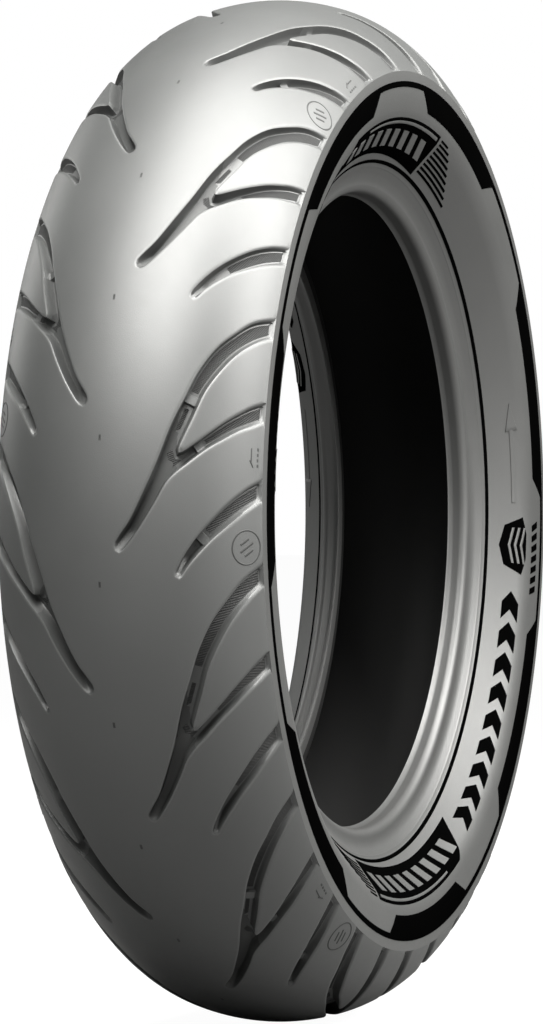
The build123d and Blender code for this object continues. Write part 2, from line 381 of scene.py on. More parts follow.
def make_edge_highlight():
    """Mask of convex edges from the pointiness of the surface, where a lighter colour is painted as a
    highlight.
    """
    group, enter, leave = shader_group("edge_rub", {"Strength": 1.0},
                                       {"Mask": "NodeSocketFloat"})
    sharp = group.nodes.new("ShaderNodeNewGeometry").outputs["Pointiness"]
    centred = math_node(group, "SUBTRACT", sharp, 0.505)
    mask = math_node(group, "MULTIPLY", centred, 9.0, clamp=True)
    place_node = group.nodes.new("ShaderNodeTexCoord").outputs["Object"]
    broken = noise_node(group, place_node, 60.0, 3)
    mask = math_node(group, "MULTIPLY", mask, broken)
    mask = math_node(group, "MULTIPLY", mask, enter.outputs["Strength"], clamp=True)
    group.links.new(mask, leave.inputs["Mask"])
    return group


def make_hatch():
    """Fine parallel ridges across a UV direction, for velvet patches and cord layers."""
    group, enter, leave = shader_group("fine_hatch", {"Lines U": 1.0, "Lines V": 1.0, "Wander": 0.2},
                                       {"Ridge": "NodeSocketFloat"})
    uv = group.nodes.new("ShaderNodeTexCoord").outputs["UV"]
    split = group.nodes.new("ShaderNodeSeparateXYZ")
    group.links.new(uv, split.inputs[0])
    along = math_node(group, "MULTIPLY", split.outputs[0], enter.outputs["Lines U"])
    up = math_node(group, "MULTIPLY", split.outputs[1], enter.outputs["Lines V"])
    place_node = group.nodes.new("ShaderNodeTexCoord").outputs["Object"]
    wander = math_node(group, "MULTIPLY", noise_node(group, place_node, 90.0, 3),
                       enter.outputs["Wander"])
    phase = math_node(group, "ADD", math_node(group, "ADD", along, up), wander)
    wave = math_node(group, "SINE", math_node(group, "MULTIPLY", phase, 2 * pi))
    ridge = math_node(group, "ADD", math_node(group, "MULTIPLY", wave, 0.5), 0.5)
    group.links.new(ridge, leave.inputs["Ridge"])
    return group


def make_turn_lines():
    """Cords or marks laid round the axle: ridges by angle about Y and by distance along Y."""
    group, enter, leave = shader_group("laid_cords", {"Round": 400.0, "Across": 900.0},
                                       {"Ridge": "NodeSocketFloat"})
    place_node = group.nodes.new("ShaderNodeTexCoord").outputs["Object"]
    split = group.nodes.new("ShaderNodeSeparateXYZ")
    group.links.new(place_node, split.inputs[0])
    turn = math_node(group, "ARCTAN2", split.outputs[2], split.outputs[0])
    around = math_node(group, "MULTIPLY", turn, enter.outputs["Round"])
    across = math_node(group, "MULTIPLY", split.outputs[1], enter.outputs["Across"])
    wave = math_node(group, "SINE", math_node(group, "ADD", around, across))
    ridge = math_node(group, "ADD", math_node(group, "MULTIPLY", wave, 0.5), 0.5)
    group.links.new(ridge, leave.inputs["Ridge"])
    return group


GRAIN = make_rubber_grain()
EDGE_HIGHLIGHT = make_edge_highlight()
HATCH = make_hatch()
CORDS = make_turn_lines()


def use_group(tree, group, **values):
    """Places a group in a material with its own values."""
    node = tree.nodes.new("ShaderNodeGroup")
    node.node_tree = group
    for label, value in values.items():
        node.inputs[label.replace("_", " ")].default_value = value
    return node


def ramp(tree, value, low, high):
    """Colour between two colours by a value."""
    node = tree.nodes.new("ShaderNodeMix")
    node.data_type = "RGBA"
    node.inputs[6].default_value = (*low, 1)
    node.inputs[7].default_value = (*high, 1)
    tree.links.new(value, node.inputs[0])
    return node.outputs[2]


def bump(tree, height, strength, distance, under=None):
    """Bump node on a height."""
    node = tree.nodes.new("ShaderNodeBump")
    node.inputs["Strength"].default_value = strength
    node.inputs["Distance"].default_value = distance
    tree.links.new(height, node.inputs["Height"])
    if under is not None:
        tree.links.new(under, node.inputs["Normal"])
    return node.outputs[0]


def base_material(name):
    """New material with its shader and tree."""
    material = bpy.data.materials.new(name)
    material.use_nodes = True
    tree = material.node_tree
    shader = tree.nodes["Principled BSDF"]
    return material, tree, shader


def rubber(name, dark, light, rough, rough_span=0.12, grain=0.25, grain_scale=1400.0, specular=0.5,
           hatch=None, hatch_depth=0.0, edge=None):
    """Vulcanised rubber with grain, cloudy tone, gloss changes, optional ridges with painted shade in
    their troughs, and an optional painted highlight on convex edges.
    """
    material, tree, shader = base_material(name)
    texture = use_group(tree, GRAIN, Grain_Scale=grain_scale)
    colour = ramp(tree, texture.outputs["Tone"], dark, light)
    gloss = math_node(tree, "MULTIPLY", texture.outputs["Gloss"], rough_span)
    gloss = math_node(tree, "ADD", gloss, rough - rough_span / 2)
    normal = bump(tree, texture.outputs["Height"], grain, 0.0002)
    if hatch is not None:
        ridges = use_group(tree, HATCH, Lines_U=hatch[0], Lines_V=hatch[1], Wander=0.2)
        normal = bump(tree, ridges.outputs["Ridge"], hatch_depth, 0.0003, normal)
        # painted shade: the troughs between the fine ridges are painted darker, as the shade they would
        # hold
        shade = tree.nodes.new("ShaderNodeMix")
        shade.data_type = "RGBA"
        shade.blend_type = "MULTIPLY"
        shade.inputs[0].default_value = 1.0
        tree.links.new(colour, shade.inputs[6])
        tree.links.new(ramp(tree, ridges.outputs["Ridge"], (0.45, 0.45, 0.45), (1, 1, 1)),
                       shade.inputs[7])
        colour = shade.outputs[2]
    # painted highlight: convex edges get a lighter colour in place of the highlight along the groove lips
    if edge is not None:
        highlight_mask = use_group(tree, EDGE_HIGHLIGHT, Strength=edge)
        highlighted = tree.nodes.new("ShaderNodeMix")
        highlighted.data_type = "RGBA"
        tree.links.new(highlight_mask.outputs["Mask"], highlighted.inputs[0])
        tree.links.new(colour, highlighted.inputs[6])
        highlighted.inputs[7].default_value = (light[0] * 2, light[1] * 2, light[2] * 2, 1)
        colour = highlighted.outputs[2]
    tree.links.new(colour, shader.inputs["Base Color"])
    tree.links.new(gloss, shader.inputs["Roughness"])
    tree.links.new(normal, shader.inputs["Normal"])
    shader.inputs["Specular IOR Level"].default_value = specular
    return material


def cord_layer(name, gum, cord, round_lines, across_lines, rough=0.6, metallic=0.0):
    """Rubbered cord sheet: parallel cords show as ridges in the gum."""
    material, tree, shader = base_material(name)
    texture = use_group(tree, GRAIN, Grain_Scale=900.0)
    lines = use_group(tree, CORDS, Round=round_lines, Across=across_lines)
    colour = ramp(tree, lines.outputs["Ridge"], gum, cord)
    gloss = math_node(tree, "MULTIPLY", texture.outputs["Gloss"], 0.2)
    gloss = math_node(tree, "ADD", gloss, rough - 0.1)
    normal = bump(tree, texture.outputs["Height"], 0.2, 0.0002)
    normal = bump(tree, lines.outputs["Ridge"], 0.6, 0.0004, normal)
    tree.links.new(colour, shader.inputs["Base Color"])
    tree.links.new(gloss, shader.inputs["Roughness"])
    tree.links.new(normal, shader.inputs["Normal"])
    shader.inputs["Metallic"].default_value = metallic
    return material


# the tread rubber carries the painted highlight on its groove edges
TREAD_RUBBER = rubber("tread_rubber_satin", (0.0175, 0.018, 0.0178), (0.0255, 0.0262, 0.0258), 0.5,
                      edge=0.5)
# painted shade: the deep groove stem gets a darker colour for the shade it holds; its higher roughness and
# lower specular are a real duller finish
GROOVE_SHADE_RUBBER = rubber("groove_rubber_dull", (0.013, 0.0134, 0.0132), (0.02, 0.0206, 0.0203), 0.6,
                       specular=0.3)
# the velvet patches carry painted shade in the troughs of their ridges
VELVET_RUBBER = rubber("groove_velvet_patch", (0.009, 0.0092, 0.0091), (0.014, 0.0144, 0.0142), 0.68,
                       hatch=(0.95, 0.3), hatch_depth=1.0, specular=0.22)
SIDE_RUBBER = rubber("sidewall_rubber_satin", (0.0185, 0.0186, 0.0183), (0.0265, 0.0267, 0.0263), 0.5)
BEAD_RUBBER = rubber("bead_rubber_smooth", (0.0185, 0.0186, 0.0183), (0.0265, 0.0267, 0.0263), 0.46,
                     grain=0.15)
BAND_RUBBER = rubber("sidewall_band_matt_black", (0.0002, 0.0002, 0.0002), (0.0006, 0.0006, 0.0006), 0.8,
                     grain=0.4, specular=0.0)
MARK_RUBBER = rubber("raised_mark_rubber", (0.0195, 0.0196, 0.0193), (0.0275, 0.0277, 0.0273), 0.48)
LINER_RUBBER = rubber("cavity_liner_rubber", (0.004, 0.004, 0.004), (0.007, 0.007, 0.007), 0.66,
                      grain=0.3, specular=0.11)
# painted shade: the raised tread marks are coloured dark to read as the shaded lines of recessed marks
TREAD_MARK_SHADE = rubber("tread_mark_rubber", (0.008, 0.0082, 0.008), (0.012, 0.0123, 0.012), 0.6,
                    specular=0.22)
GUM_RUBBER = rubber("building_gum", (0.02, 0.02, 0.021), (0.04, 0.04, 0.042), 0.6, grain=0.3)
PLY_CORD = cord_layer("carcass_ply_cord", (0.03, 0.028, 0.026), (0.3, 0.25, 0.18), 1400.0, 0.0)
BELT_CORD = cord_layer("breaker_belt_cord", (0.03, 0.028, 0.026), (0.55, 0.4, 0.12), 700.0, 2600.0)
WEAVE = cord_layer("chafer_square_weave", (0.03, 0.03, 0.03), (0.28, 0.24, 0.18), 900.0, 5200.0)
WIRE = cord_layer("bronzed_bead_wire", (0.32, 0.2, 0.1), (0.62, 0.42, 0.24), 2400.0, 3000.0, 0.35, 1.0)


# ---- Geometry Nodes: one shape repeated round the axle ----------------------------------------
def repeat_tree(name, materials):
    """Tree that repeats its geometry round Y and gives each marked part its material."""
    tree = bpy.data.node_groups.new(name, "GeometryNodeTree")
    face = tree.interface
    face.new_socket("Geometry", in_out="INPUT", socket_type="NodeSocketGeometry")
    face.new_socket("Count", in_out="INPUT", socket_type="NodeSocketInt")
    face.new_socket("Start Angle", in_out="INPUT", socket_type="NodeSocketFloat")
    face.new_socket("Merge Distance", in_out="INPUT", socket_type="NodeSocketFloat")
    face.new_socket("Geometry", in_out="OUTPUT", socket_type="NodeSocketGeometry")
    node = tree.nodes.new
    link = tree.links.new
    enter, leave = node("NodeGroupInput"), node("NodeGroupOutput")
    points, index = node("GeometryNodePoints"), node("GeometryNodeInputIndex")
    link(enter.outputs["Count"], points.inputs["Count"])
    step = node("ShaderNodeMath")
    step.operation = "DIVIDE"
    step.inputs[0].default_value = 2 * pi
    link(enter.outputs["Count"], step.inputs[1])
    turn = node("ShaderNodeMath")
    turn.operation = "MULTIPLY_ADD"
    link(index.outputs[0], turn.inputs[0])
    link(step.outputs[0], turn.inputs[1])
    link(enter.outputs["Start Angle"], turn.inputs[2])
    spin = node("ShaderNodeCombineXYZ")
    link(turn.outputs[0], spin.inputs[1])
    copies = node("GeometryNodeInstanceOnPoints")
    link(points.outputs[0], copies.inputs["Points"])
    link(enter.outputs["Geometry"], copies.inputs["Instance"])
    link(spin.outputs[0], copies.inputs["Rotation"])
    real = node("GeometryNodeRealizeInstances")
    link(copies.outputs[0], real.inputs[0])
    weld = node("GeometryNodeMergeByDistance")
    link(real.outputs[0], weld.inputs[0])
    link(enter.outputs["Merge Distance"], weld.inputs["Distance"])
    last = weld.outputs[0]
    for mark, material in materials:
        paint = node("GeometryNodeSetMaterial")
        paint.inputs["Material"].default_value = material
        if mark:
            chosen = node("GeometryNodeInputNamedAttribute")
            chosen.data_type = "BOOLEAN"
            chosen.inputs["Name"].default_value = mark
            link(chosen.outputs["Attribute"], paint.inputs["Selection"])
        link(last, paint.inputs[0])
        last = paint.outputs[0]
    link(last, leave.inputs[0])
    return tree


SHARP_EDGE = 38             # edges that turn more than this many degrees are crisp


def repeat_piece(piece, tree, count, merge=2e-6):
    """Runs a repeat tree on a piece and keeps the result as its plain mesh."""
    modifier = piece.modifiers.new("repeat", "NODES")
    modifier.node_group = tree
    values = {"Count": count, "Start Angle": 0.0, "Merge Distance": merge}
    for item in tree.interface.items_tree:
        if item.in_out == "INPUT" and item.name in values:
            modifier[item.identifier] = values[item.name]
    bpy.context.view_layer.update()
    graph = bpy.context.evaluated_depsgraph_get()
    mesh = bpy.data.meshes.new_from_object(piece.evaluated_get(graph))
    mesh.name = piece.name
    piece.modifiers.clear()
    piece.data = mesh
    mesh.shade_smooth()
    mesh.set_sharp_from_angle(angle=radians(SHARP_EDGE))


# ---- tread pattern --------------------------------------------------------------------------
# Outlines are (angle, arc distance). Each list is one smooth run; runs meet at corners.
FORK_GROOVE = [
    [(-4.17, 12.4), (-4.05, 10.9), (-3.75, 9.9), (-3.3, 9.9), (-2.6, 12.2), (-1.0, 18.5),
     (2.0, 26.7), (5.0, 33.8), (9.0, 41.4), (12.0, 48.2), (15.0, 54.9), (18.0, 64.5),
     (20.0, 74.2), (22.0, 85.4), (23.5, GROOVE_END)],
    [(23.5, GROOVE_END), (21.25, GROOVE_END)],
    [(21.25, GROOVE_END), (20.0, 90.2), (18.0, 78.4), (16.0, 70.0), (13.0, 60.1), (10.0, 53.8),
     (8.0, 49.3), (6.7, 46.5), (6.25, 46.1), (6.1, 46.9), (6.35, 49.6), (7.0, 54.3),
     (8.0, 61.0), (9.0, 67.7), (10.0, 74.5), (11.0, 82.3), (12.0, 90.7), (12.85, GROOVE_END)],
    [(12.85, GROOVE_END), (10.75, GROOVE_END)],
    [(10.75, GROOVE_END), (9.9, 91.3), (9.0, 81.8), (8.0, 73.6), (7.0, 65.2), (6.0, 58.0),
     (5.0, 51.5), (4.0, 44.8), (3.0, 39.8), (1.0, 33.6), (-1.0, 26.9), (-2.0, 23.2),
     (-3.9, 14.9), (-4.17, 12.4)],
]
SHORT_GROOVE = [
    [(-7.03, 46.6), (-6.9, 45.0), (-6.6, 44.5), (-6.2, 45.2), (-5.0, 48.8), (-3.0, 56.6),
     (-1.0, 66.6), (1.0, 78.4), (2.5, 89.9), (3.5, GROOVE_END)],
    [(3.5, GROOVE_END), (1.35, GROOVE_END)],
    [(1.35, GROOVE_END), (0.0, 88.5), (-1.0, 81.2), (-2.0, 74.2), (-3.0, 67.2), (-4.0, 61.4),
     (-5.0, 56.0), (-6.2, 50.4), (-6.9, 47.7), (-7.03, 46.6)],
]
# Wear bars: (angle, arc) of the middle and of a point ahead along the groove.
WEAR_BARS = [((12.0, 53.0), (13.6, 56.2)), ((6.95, 59.3), (7.5, 63.2)), ((-2.95, 62.0), (-2.3, 65.4))]
BAR_HALF = 2.9
BAR_RAMP = 0.35
PATCH_GAP = 2.4             # from a wear bar to the start of the velvet patch
CELL_EDGE = [(-7.0, 0.0), (-7.0, 8.0), (-8.0, 20.0), (-10.0, 36.0), (-10.6, 46.0), (-9.6, 56.0),
             (-7.6, 68.0), (-5.6, 80.0), (-4.0, 90.0), (-3.0, EDGE_ARC)]
RING_STEP = 2.3             # spacing of points round a groove
RING_OUT = 1.0              # the outermost ring lies this far outside the soft edge
GRID_STEP = 3.7             # spacing of points on the open tread


def smooth_run(points, step):
    """Catmull-Rom curve through points in flat millimetres, at about equal steps."""
    points = np.array(points, float)
    if len(points) == 2:
        count = max(2, round(np.linalg.norm(points[1] - points[0]) / step))
        return points[0] + (points[1] - points[0]) * np.linspace(0, 1, count + 1)[:, None]
    ends = np.vstack([2 * points[0] - points[1], points, 2 * points[-1] - points[-2]])
    fine = []
    for k in range(1, len(ends) - 2):
        p0, p1, p2, p3 = ends[k - 1:k + 3]
        knots = [0]
        for a, b in ((p0, p1), (p1, p2), (p2, p3)):
            knots.append(knots[-1] + sqrt(max(np.linalg.norm(b - a), 1e-6)))
        t = np.linspace(knots[1], knots[2], 24, endpoint=False)[:, None]
        k0, k1, k2, k3 = knots
        a1 = (k1 - t) / (k1 - k0) * p0 + (t - k0) / (k1 - k0) * p1
        a2 = (k2 - t) / (k2 - k1) * p1 + (t - k1) / (k2 - k1) * p2
        a3 = (k3 - t) / (k3 - k2) * p2 + (t - k2) / (k3 - k2) * p3
        b1 = (k2 - t) / (k2 - k0) * a1 + (t - k0) / (k2 - k0) * a2
        b2 = (k3 - t) / (k3 - k1) * a2 + (t - k1) / (k3 - k1) * a3
        fine.append((k2 - t) / (k2 - k1) * b1 + (t - k1) / (k2 - k1) * b2)
    fine = np.vstack(fine + [points[-1:]])
    length = np.concatenate([[0], np.cumsum(np.linalg.norm(np.diff(fine, axis=0), axis=1))])
    count = max(2, round(length[-1] / step))
    at = np.linspace(0, length[-1], count + 1)
    return np.stack([np.interp(at, length, fine[:, 0]), np.interp(at, length, fine[:, 1])], -1)


def flat(points):
    """Drawing points (angle, arc) in flat millimetres."""
    return np.array(points, float) * (FLAT_DEG, 1)


def closed_outline(runs, step):
    """Dense closed outline of smooth runs."""
    parts = [smooth_run(flat(run), step)[:-1] for run in runs]
    return np.vstack(parts)


def inside(points, outline):
    """Which points lie in a closed outline."""
    x, y = points[:, 0][:, None], points[:, 1][:, None]
    a, b = outline, np.roll(outline, -1, 0)
    crosses = (a[:, 1] > y) != (b[:, 1] > y)
    reach = (b[:, 0] - a[:, 0]) * (y - a[:, 1]) / (b[:, 1] - a[:, 1] + 1e-12) + a[:, 0]
    return (crosses & (x < reach)).sum(1) % 2 == 1


def depth_into(points, outline):
    """Signed distance from an outline, positive inside it."""
    best = np.full(len(points), 1e9)
    for a, b in zip(outline, np.roll(outline, -1, 0)):
        along = b - a
        share = np.clip(((points - a) @ along) / (along @ along), 0, 1)
        gap = points - (a + share[:, None] * along)
        best = np.minimum(best, (gap ** 2).sum(1))
    return np.where(inside(points, outline), 1, -1) * np.sqrt(best)


def bevel_width(arc):
    """Width of the soft edge outside a groove lip."""
    return 0.7 + 1.0 * np.clip(np.asarray(arc, float) / EDGE_ARC, 0, 1) ** 1.5


def floor_depth(arc):
    """Depth of the groove floor."""
    rise = np.clip((np.asarray(arc, float) - DEEP_UNTIL) / (GROOVE_END - DEEP_UNTIL), 0, 1)
    return GROOVE_DEPTH + (EDGE_DEPTH - GROOVE_DEPTH) * rise


def tread_depth(points, into, barred):
    """Depth below the tread at points, from how far they are inside a groove."""
    wide = bevel_width(points[:, 1])
    end = np.clip((EDGE_ARC - points[:, 1]) / (EDGE_ARC - GROOVE_END), 0, 1)
    lip = LIP_SHARE * wide
    soft = np.clip((into + wide) / wide, 0, 1)
    outside = lip * soft ** 1.6 * end
    full = floor_depth(points[:, 1])
    for tip in TIPS:
        from_tip = np.hypot(*(points - flat(tip)).T) / TIP_RUN
        full = full * (0.12 + 0.88 * np.clip(from_tip, 0, 1))
    if barred:
        for middle, way, across in bar_frames():
            gap = points - middle
            raised = np.clip((BAR_HALF + BAR_RAMP - np.abs(gap @ way)) / (2 * BAR_RAMP), 0, 1)
            full = full - BAR_RISE * raised * (np.abs(gap @ across) < 9)
    down = np.clip(into / WALL, 0, 1)
    fillet = np.clip((into - WALL) / (FLOOR_IN - WALL), 0, 1)
    inner = lip + (full - FLOOR_FILLET - lip) * down + FLOOR_FILLET * fillet ** 0.6
    return np.where(into > 0, inner, outside)


def groove_rings(outline, all_into):
    """Closed rings of points at fixed distances from a groove's lip."""
    rings = []
    ahead = np.roll(outline, -1, 0) - np.roll(outline, 1, 0)
    ahead /= np.linalg.norm(ahead, axis=1)[:, None]
    turned = np.stack([-ahead[:, 1], ahead[:, 0]], -1)
    probe = outline + turned * 0.2
    turned *= np.where(inside(probe, outline), 1, -1)[:, None]
    wide = bevel_width(outline[:, 1])
    level = [np.full(len(outline), inset) for inset in (0, 0.45, WALL, FLOOR_IN, PATCH_IN, STRIP_IN)]
    for offset in [-wide - RING_OUT, -wide, -wide * 0.5] + level:
        ring = outline + turned * offset[:, None]
        into = depth_into(ring, outline)
        keep = np.abs(into) > np.abs(offset) - 0.06
        keep &= ring[:, 1] < EDGE_ARC - 0.25
        chosen = []
        for k in np.flatnonzero(keep):
            if not chosen or np.linalg.norm(ring[k] - ring[chosen[-1]]) > 0.5:
                chosen.append(k)
        rings.append((ring[chosen], chosen, len(outline)))
    return rings


def bar_frames():
    """Middle, direction along the groove and direction across it, for each wear bar."""
    for middle, ahead in WEAR_BARS:
        middle, ahead = flat(middle), flat(ahead)
        way = (ahead - middle) / np.linalg.norm(ahead - middle)
        yield middle, way, np.array([-way[1], way[0]])


def cross_rows(barred):
    """Short rows of points across the grooves: the edges of the wear bars and velvet patches."""
    stations = [BAR_HALF + PATCH_GAP, -BAR_HALF - PATCH_GAP]
    if barred:
        stations += [-BAR_HALF - BAR_RAMP, -BAR_HALF + BAR_RAMP,
                     BAR_HALF - BAR_RAMP, BAR_HALF + BAR_RAMP]
    rows = []
    for middle, way, across in bar_frames():
        for station in stations:
            reach = np.arange(-8, 8.1, 1.0)[:, None]
            rows.append(middle + way * station + across * reach)
    return rows


def velvet_at(middles, into):
    """Which flat points of the groove floors lie in a velvet patch."""
    angle, arc = middles[:, 0] / FLAT_DEG, middles[:, 1]
    main = angle > 9.0 + (arc - 55) * 0.182
    short = angle < 2.3 + (arc - 62) * 0.13
    limb = np.where(main, 0, np.where(short, 2, 1))
    found = np.zeros(len(middles), bool)
    for number, (middle, way, _) in enumerate(bar_frames()):
        along = (middles - middle) @ way
        found |= (limb == number) & (along > BAR_HALF + PATCH_GAP)
        before = (-along > BAR_HALF + PATCH_GAP) & (-along < BAR_HALF + PATCH_GAP + STRIP_LONG)
        near = np.linalg.norm(middles - middle, axis=1) < STRIP_LONG + 8
        found |= (limb == number) & before & near & (into > STRIP_IN)
    return found & (into > PATCH_IN) & (arc < GROOVE_END - 1.0)


def tread_cell(barred):
    """One pitch of one tread half: flat points, depths, faces, velvet marks and marks of the painted shade
    in the deep stem.
    """
    outlines = [closed_outline(FORK_GROOVE, RING_STEP), closed_outline(SHORT_GROOVE, RING_STEP)]
    copies = outlines + [outlines[0] - (PITCH * FLAT_DEG, 0), outlines[1] + (PITCH * FLAT_DEG, 0)]

    def into_any(points):
        return np.max([depth_into(points, outline) for outline in copies], 0)

    left = smooth_run(flat(CELL_EDGE), 3.4)
    left[:, 1] *= EDGE_ARC / left[-1, 1]
    right = left + (PITCH * FLAT_DEG, 0)
    first, last = left[0, 0] / FLAT_DEG, left[-1, 0] / FLAT_DEG
    bottom = np.array([(a * FLAT_DEG, 0) for a in np.arange(round(first) + 1, round(first) + PITCH)])
    top = np.array([(a * FLAT_DEG, EDGE_ARC) for a in np.arange(round(last) + 1, round(last) + PITCH)])
    border = np.vstack([left[::-1], bottom, right, top[::-1]])
    points, edges = [], []

    def add_loop(loop, closed=True, gaps=()):
        start = sum(len(p) for p in points)
        points.append(loop)
        for k in range(len(loop) - (0 if closed else 1)):
            if k not in gaps:
                edges.append((start + k, start + (k + 1) % len(loop)))

    add_loop(border)
    for outline in outlines:
        for ring, chosen, total in groove_rings(outline, into_any):
            if len(ring) < 4:
                continue
            others = into_any(ring)
            own = depth_into(ring, outline)
            clear = others <= own + 0.3
            gaps = [k for k in range(len(ring))
                    if (chosen[(k + 1) % len(ring)] - chosen[k]) % total > 6
                    or not clear[k] or not clear[(k + 1) % len(ring)]]
            add_loop(ring, True, set(gaps))
    for row in cross_rows(barred):
        row = row[into_any(row) > 0.2]
        if len(row) > 1:
            add_loop(row, False)
    fixed = np.vstack(points)
    low, high = border.min(0), border.max(0)
    rows = np.arange(low[1] + GRID_STEP * 0.6, high[1], GRID_STEP * 0.866)
    grid = []
    for number, arc in enumerate(rows):
        shift = GRID_STEP / 2 * (number % 2)
        grid += [(a, arc) for a in np.arange(low[0] + shift, high[0], GRID_STEP)]
    grid = np.array(grid)
    grid = grid[inside(grid, border)]
    into = into_any(grid)
    far_out = into < -bevel_width(grid[:, 1]) - RING_OUT - GRID_STEP * 0.45
    deep_in = into > PATCH_IN + GRID_STEP * 0.35
    grid = grid[far_out | deep_in]
    nearest = np.array([((fixed - g) ** 2).sum(1).min() for g in grid])
    grid = grid[nearest > (GRID_STEP * 0.45) ** 2]
    points.append(grid)
    everything = np.vstack(points)
    result = delaunay_2d_cdt([Vector(p) for p in everything], edges, [], 0, 1e-4)
    flat_points = np.array([tuple(v) for v in result[0]])
    faces = result[2]
    middles = np.array([flat_points[list(f)].mean(0) for f in faces])
    kept = inside(middles, border)
    faces = [f for f, k in zip(faces, kept) if k]
    middles = middles[kept]
    into_points = into_any(flat_points)
    depth = tread_depth(flat_points, into_points, barred)
    into = into_any(middles)
    # faces of the deep stem that get the darker colour as painted shade
    sunk = (into > 0) & (middles[:, 1] < STEM_END)
    return flat_points, depth, faces, velvet_at(middles, into), sunk


def tread_vertices(flat_points, depth, side, shift):
    """Places flat tread points on the tyre."""
    x, r, heading = on_tread(flat_points[:, 1])
    angle = flat_points[:, 0] / FLAT_DEG + shift
    return place(x - np.sin(heading) * depth, r - np.cos(heading) * depth, angle, side)


def make_tread():
    """Tread cap: two pitches of both halves with their underside, repeated round the tyre."""
    cells = [tread_cell(True), tread_cell(False)]
    vertices, faces, velvet, sunk, uv = [], [], [], [], []
    for side in (-1, 1):
        for number, (points, depth, cell_faces, marks, deep) in enumerate(cells):
            shift = number * PITCH + (SIDE_SHIFT if side > 0 else 0)
            base = len(vertices)
            vertices.extend(tread_vertices(points, depth, side, shift))
            uv.extend(points)
            faces += [tuple(base + k for k in face) for face in cell_faces]
            velvet += list(marks)
            sunk += list(deep)
    under = np.vstack([shoulder, shoulder + (-5.0, -1.2), under_path[::-1]])
    mirrored = under[:-1][::-1] * (-1, 1)
    under = np.vstack([under, mirrored])
    columns = int(2 * PITCH) + 1
    base = len(vertices)
    for column in range(columns):
        vertices.extend(place(-under[:, 0], under[:, 1], float(column), 1))
        uv.extend([(column * FLAT_DEG, 0)] * len(under))
    for column in range(columns - 1):
        for row in range(len(under) - 1):
            a = base + column * len(under) + row
            faces.append((a, a + 1, a + 1 + len(under), a + len(under)))
            velvet.append(False)
            sunk.append(False)
    mesh = bpy.data.meshes.new("tread_cap_rubber")
    mesh.from_pydata([tuple(v) for v in vertices], [], faces)
    for title, marked in (("velvet", velvet), ("sunk", sunk)):
        mark = mesh.attributes.new(title, "BOOLEAN", "FACE")
        mark.data.foreach_set("value", np.array(marked, bool))
    layer = mesh.uv_layers.new(name="UVMap")
    loops = np.zeros(len(mesh.loops), np.int32)
    mesh.loops.foreach_get("vertex_index", loops)
    layer.data.foreach_set("uv", np.asarray(uv, np.float32)[loops].ravel())
    mesh.materials.append(TREAD_RUBBER)
    piece = bpy.data.objects.new("tread_cap_rubber", mesh)
    bpy.context.scene.collection.objects.link(piece)
    tree = repeat_tree("tread_pitches", [(None, TREAD_RUBBER), ("sunk", GROOVE_SHADE_RUBBER),
                                         ("velvet", VELVET_RUBBER)])
    repeat_piece(piece, tree, PITCHES // 2, merge=4e-6)
    build = bmesh.new()
    build.from_mesh(piece.data)
    bmesh.ops.remove_doubles(build, verts=build.verts, dist=4e-6)
    bmesh.ops.recalc_face_normals(build, faces=build.faces)
    build.to_mesh(piece.data)
    build.free()
    piece.data.set_sharp_from_angle(angle=radians(SHARP_EDGE))
    finish_piece(piece, "tread_rubber", "tread_cap")


# ---- rings: wings, sidewalls, bead flanks, liner ----------------------------------------------
WING_END_R = 270.0
SKIN = 1.6                  # thickness of the turned skins where their backs are hidden


def part_of_side(high, low):
    """Points of the sidewall and bead path between two radii."""
    path = np.vstack([side_path, bead_path[1:]])
    x_high, *_ = on_side(high)
    x_low, *_ = on_side(low)
    inner = path[(path[:, 1] < high - 0.02) & (path[:, 1] > low + 0.02)]
    return np.vstack([[x_high, high], inner, [x_low, low]])


def with_back(path, thickness):
    """Closed outline from an outer path and a copy of it moved inwards."""
    ahead = np.gradient(path, axis=0)
    ahead /= np.linalg.norm(ahead, axis=1)[:, None]
    inward = np.stack([ahead[:, 1], -ahead[:, 0]], -1)
    return np.vstack([path, (path + inward * thickness)[::-1]])


def make_rings(label, side):
    """Turned rubber pieces of one side."""
    wing = ring_piece(f"tread_wing_{label}_rubber", with_back(part_of_side(shoulder[1], WING_END_R), SKIN),
                      side, SIDE_RUBBER)
    finish_piece(wing, "sidewall_rubber", f"tread_wing_{label}")
    wall = ring_piece(f"sidewall_{label}_rubber", with_back(part_of_side(WING_END_R, RIM_LINE[1]), SKIN),
                      side, SIDE_RUBBER)
    finish_piece(wall, "sidewall_rubber", f"sidewall_{label}")
    toe = [(42.1, 200.55), (41.6, 200.4), (39.9, 199.62), (39.45, 199.3), (39.2, 199.1),
           (38.95, 199.15), (38.8, 199.5)]
    inner_face = [(38.7, 201.5), (38.75, 204.0), (38.9, LINER_END_R)]
    back = [(43.5, LINER_END_R), (43.6, 203.0), (47.0, 202.6), (49.8, 206.2), (52.5, 214.0),
            (57.3, 220.6)]
    fine_line = fine_rim_ridge(bead_path)
    outline = np.vstack([fine_line, toe, inner_face, back])
    flank = ring_piece(f"rim_strip_{label}_rubber", outline, side, BEAD_RUBBER)
    finish_piece(flank, "bead_rubber", f"rim_strip_{label}")


def fine_rim_ridge(path):
    """Bead path with a fine raised line just inside the rim line."""
    start = path[0]
    ahead = path[1] - path[0]
    ahead /= np.linalg.norm(ahead)
    outward = np.array([-ahead[1], ahead[0]])
    ridge = [start + ahead * 2.2, start + ahead * 2.5 + outward * 0.1,
             start + ahead * 2.8 + outward * 0.1, start + ahead * 3.1]
    rest = path[np.linalg.norm(path - start, axis=1) > 3.5]
    return np.vstack([start, ridge, rest])


